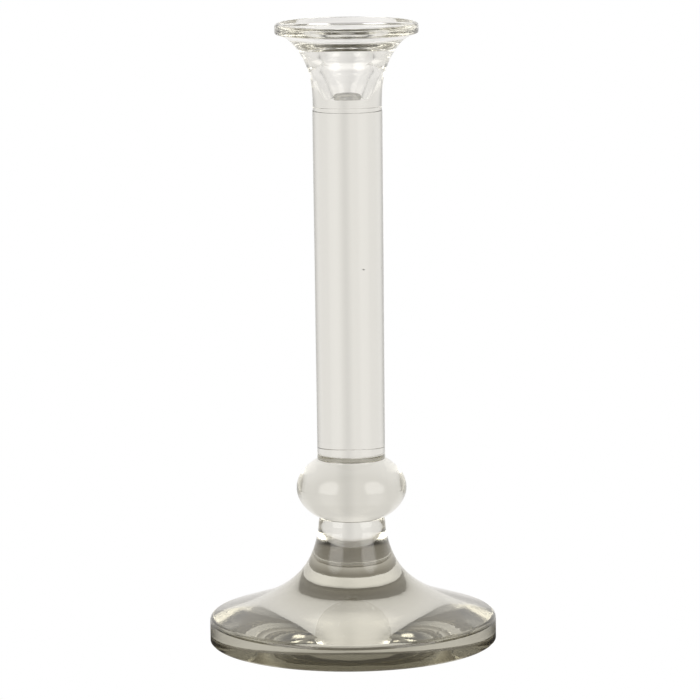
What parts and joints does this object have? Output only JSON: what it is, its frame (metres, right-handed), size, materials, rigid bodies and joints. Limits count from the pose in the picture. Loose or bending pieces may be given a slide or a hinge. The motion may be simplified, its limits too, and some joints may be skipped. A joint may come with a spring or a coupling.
{
  "type": "candlestick",
  "caption": "Tall solid glass candlestick: heavy flared round foot, flattened ball, plain round column and a trumpet cup with a dished rim and a socket for a taper candle",
  "frame": {"origin": "centre of the foot's underside, on the table", "axes": "+Z is the candlestick's axis, up through the candle"},
  "size_m": [0.1388, 0.1388, 0.3],
  "materials": {
    "smoke_glass": "fire-polished, light smoke-grey tint",
    "adhesive": "clear cured adhesive film"
  },
  "bodies": {
    "root": {"foot": "smoke_glass", "ball": "smoke_glass", "column": "smoke_glass", "candle_cup": "smoke_glass", "ball_adhesive": "adhesive", "column_adhesive": "adhesive", "cup_adhesive": "adhesive"}
  },
  "joints": []
}
